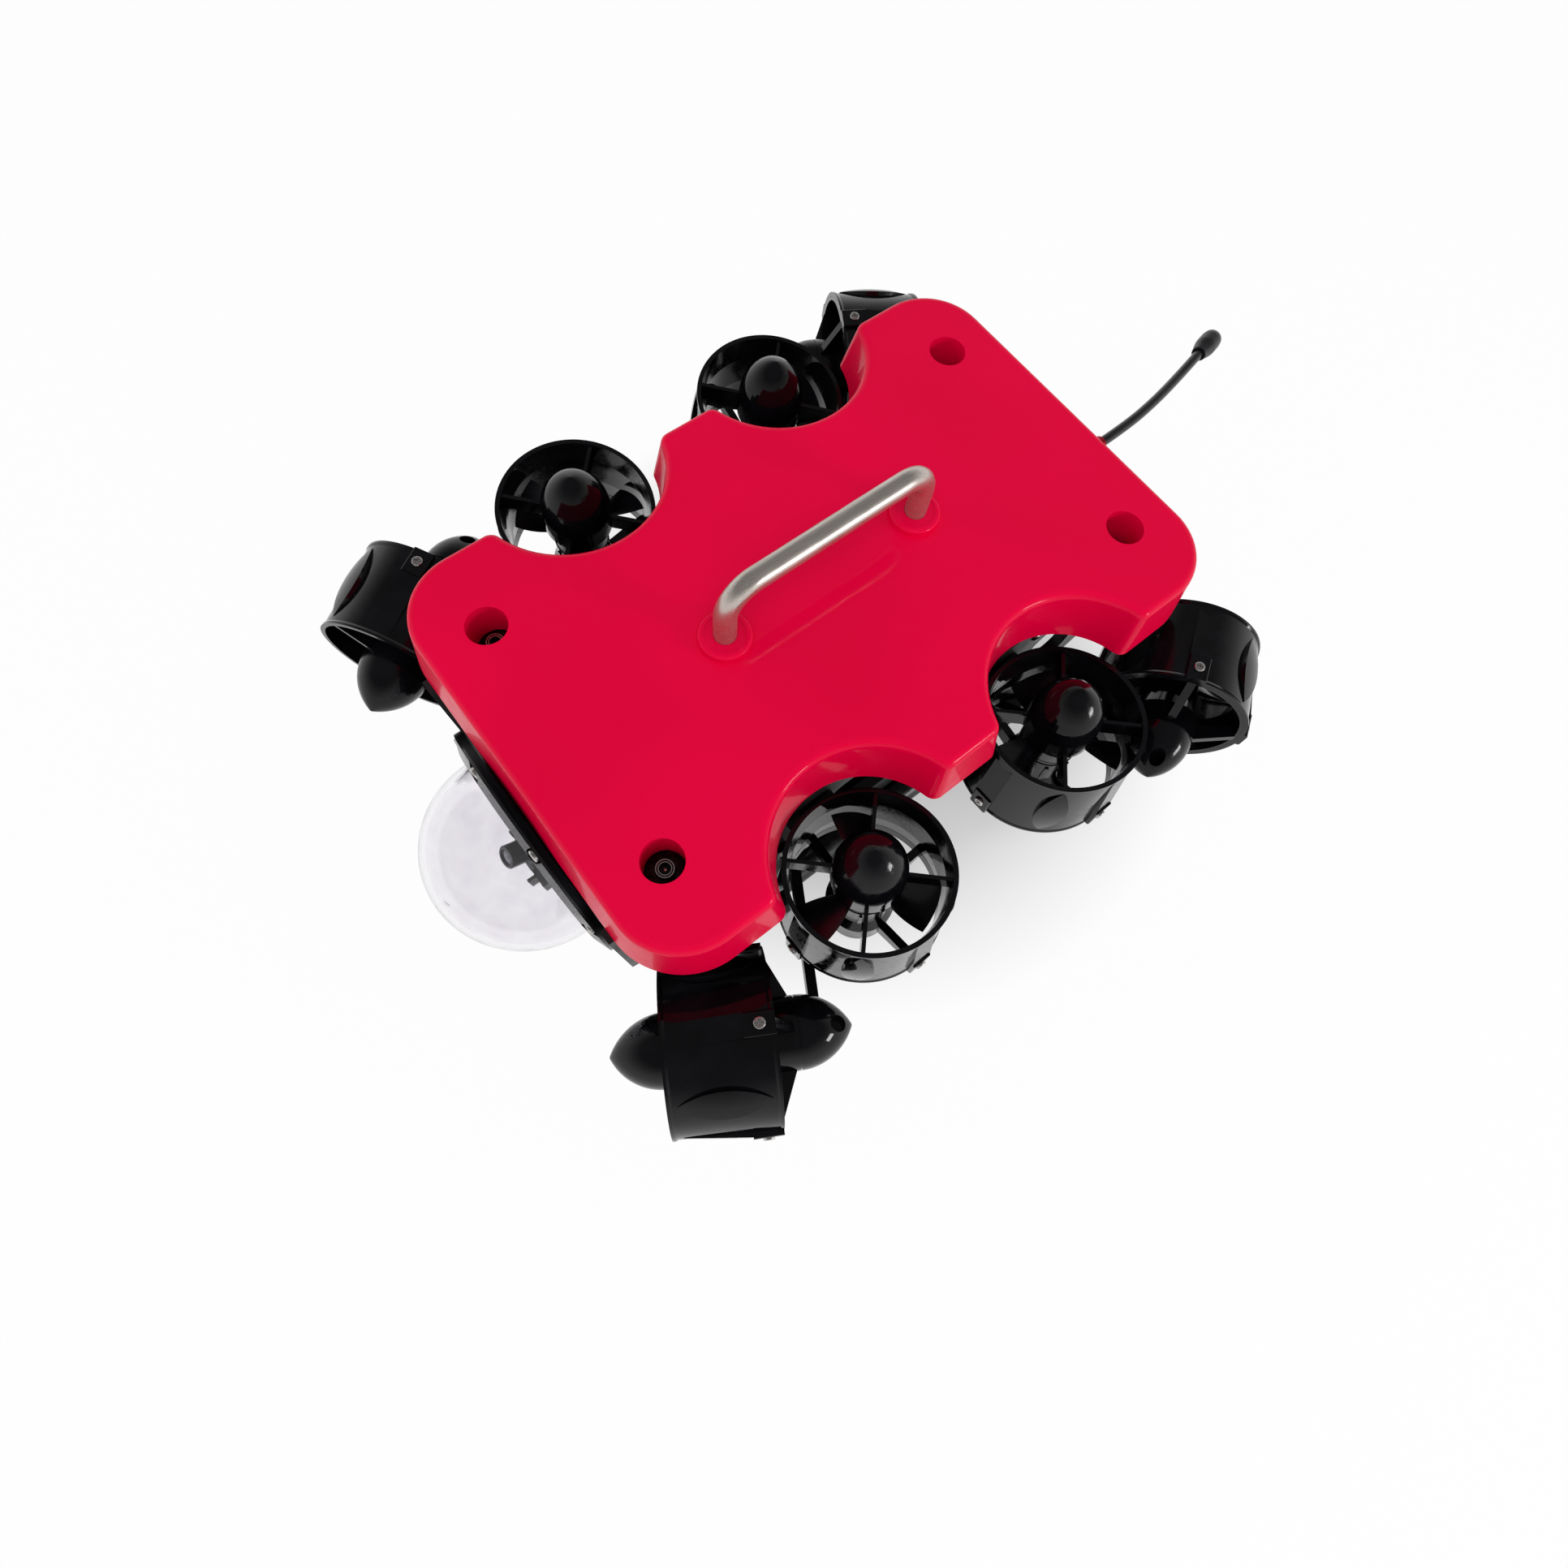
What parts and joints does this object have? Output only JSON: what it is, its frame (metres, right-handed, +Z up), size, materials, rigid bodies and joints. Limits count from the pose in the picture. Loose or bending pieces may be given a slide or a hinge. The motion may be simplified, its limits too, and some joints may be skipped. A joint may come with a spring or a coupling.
{
  "type": "underwater inspection vehicle",
  "caption": "Compact underwater inspection vehicle: foam float, plate frame, pressure tube with a tilting camera in a dome, and shrouded thrusters all round.",
  "frame": {"origin": "on the ground under the skid rails, half way between the dome's tip and the aft thruster noses, on the centre plane", "axes": "+X towards the bow (the camera dome), +Y to port, +Z up"},
  "size_m": [0.5875, 0.424, 0.2345],
  "materials": {
    "float_red": "clear-coated foam, high gloss",
    "thruster_black": "moulded, glossy",
    "propeller_black": "moulded, satin",
    "stainless": "satin polished stainless",
    "bolt_black": "black oxide",
    "frame_black": "machined sheet, fine grain",
    "rail_black": "extruded, satin",
    "strut_metal": "black anodised",
    "tube_metal": "black anodised",
    "flange_metal": "black anodised",
    "ring_black": "machined, polished",
    "acrylic_clear": "polished clear",
    "screw_steel": "turned stainless",
    "seal_rubber": "smooth",
    "gland_red": "red anodised",
    "cable_rubber": "smooth jacket",
    "connector_rubber": "moulded",
    "tray_white": "machined sheet",
    "battery_blue": "shrink wrap",
    "board_green": "solder mask",
    "camera_black": "moulded, satin",
    "lens_glass": "coated glass",
    "bracket_black": "moulded",
    "servo_black": "moulded"
  },
  "bodies": {
    "vehicle": {"battery_pack": "battery_blue", "cable_glands": "gland_red", "camera_bracket": "bracket_black", "camera_dome": "acrylic_clear", "carry_handle": "stainless", "control_board": "board_green", "deck_plate": "frame_black", "dome_ring": "ring_black", "dome_ring_screws": "screw_steel", "duct_cradles": "frame_black", "duct_horizontal_front_port": "thruster_black", "duct_horizontal_front_starboard": "thruster_black", "duct_horizontal_rear_port": "thruster_black", "duct_horizontal_rear_starboard": "thruster_black", "duct_vertical_front_port": "thruster_black", "duct_vertical_front_starboard": "thruster_black", "duct_vertical_rear_port": "thruster_black", "duct_vertical_rear_starboard": "thruster_black", "electronics_tray": "tray_white", "electronics_tube": "tube_metal", "float_block": "float_red", "float_bolts": "bolt_black", "front_bulkhead": "frame_black", "front_flange": "flange_metal", "handle_bolts": "stainless", "payload_plate": "frame_black", "pod_horizontal_front_port": "thruster_black", "pod_horizontal_front_starboard": "thruster_black", "pod_horizontal_rear_port": "thruster_black", "pod_horizontal_rear_starboard": "thruster_black", "pod_vertical_front_port": "thruster_black", "pod_vertical_front_starboard": "thruster_black", "pod_vertical_rear_port": "thruster_black", "pod_vertical_rear_starboard": "thruster_black", "rail_saddles": "frame_black", "rear_bulkhead": "frame_black", "rear_cap": "flange_metal", "side_plate_port": "frame_black", "side_plate_starboard": "frame_black", "skid_rail_port": "rail_black", "skid_rail_starboard": "rail_black", "tether_cable": "cable_rubber", "tether_connector": "connector_rubber", "tether_gland": "gland_red", "thruster_struts": "strut_metal", "tilt_servo": "servo_black", "tube_seals": "seal_rubber"},
    "propeller_vertical_front_port": {"propeller_vertical_front_port": "propeller_black"},
    "propeller_horizontal_front_port": {"propeller_horizontal_front_port": "propeller_black"},
    "propeller_vertical_rear_port": {"propeller_vertical_rear_port": "propeller_black"},
    "propeller_horizontal_rear_port": {"propeller_horizontal_rear_port": "propeller_black"},
    "propeller_vertical_front_starboard": {"propeller_vertical_front_starboard": "propeller_black"},
    "propeller_horizontal_front_starboard": {"propeller_horizontal_front_starboard": "propeller_black"},
    "propeller_vertical_rear_starboard": {"propeller_vertical_rear_starboard": "propeller_black"},
    "propeller_horizontal_rear_starboard": {"propeller_horizontal_rear_starboard": "propeller_black"},
    "camera": {"camera_body": "camera_black", "camera_lens": "lens_glass"}
  },
  "joints": [
    {"name": "spin_vertical_front_port", "type": "hinge", "parent": "vehicle", "child": "propeller_vertical_front_port", "pos_m": [0.0562, 0.134, 0.153], "axis": [0, -0.1045, 0.9945], "continuous": true},
    {"name": "spin_horizontal_front_port", "type": "hinge", "parent": "vehicle", "child": "propeller_horizontal_front_port", "pos_m": [0.19226, 0.13954, 0.0973], "axis": [0.8616, -0.5075, 0], "continuous": true},
    {"name": "spin_vertical_rear_port", "type": "hinge", "parent": "vehicle", "child": "propeller_vertical_rear_port", "pos_m": [-0.0868, 0.134, 0.153], "axis": [0, -0.1045, 0.9945], "continuous": true},
    {"name": "spin_horizontal_rear_port", "type": "hinge", "parent": "vehicle", "child": "propeller_horizontal_rear_port", "pos_m": [-0.22285, 0.13954, 0.0973], "axis": [-0.8616, -0.5075, 0], "continuous": true},
    {"name": "spin_vertical_front_starboard", "type": "hinge", "parent": "vehicle", "child": "propeller_vertical_front_starboard", "pos_m": [0.0562, -0.134, 0.153], "axis": [0, 0.1045, 0.9945], "continuous": true},
    {"name": "spin_horizontal_front_starboard", "type": "hinge", "parent": "vehicle", "child": "propeller_horizontal_front_starboard", "pos_m": [0.19226, -0.13954, 0.0973], "axis": [0.8616, 0.5075, 0], "continuous": true},
    {"name": "spin_vertical_rear_starboard", "type": "hinge", "parent": "vehicle", "child": "propeller_vertical_rear_starboard", "pos_m": [-0.0868, -0.134, 0.153], "axis": [0, 0.1045, 0.9945], "continuous": true},
    {"name": "spin_horizontal_rear_starboard", "type": "hinge", "parent": "vehicle", "child": "propeller_horizontal_rear_starboard", "pos_m": [-0.22285, -0.13954, 0.0973], "axis": [-0.8616, 0.5075, 0], "continuous": true},
    {"name": "camera_tilt", "type": "hinge", "parent": "vehicle", "child": "camera", "pos_m": [0.1897, 0, 0.0915], "axis": [0, 1, 0], "range_deg": [-12, 78]}
  ]
}
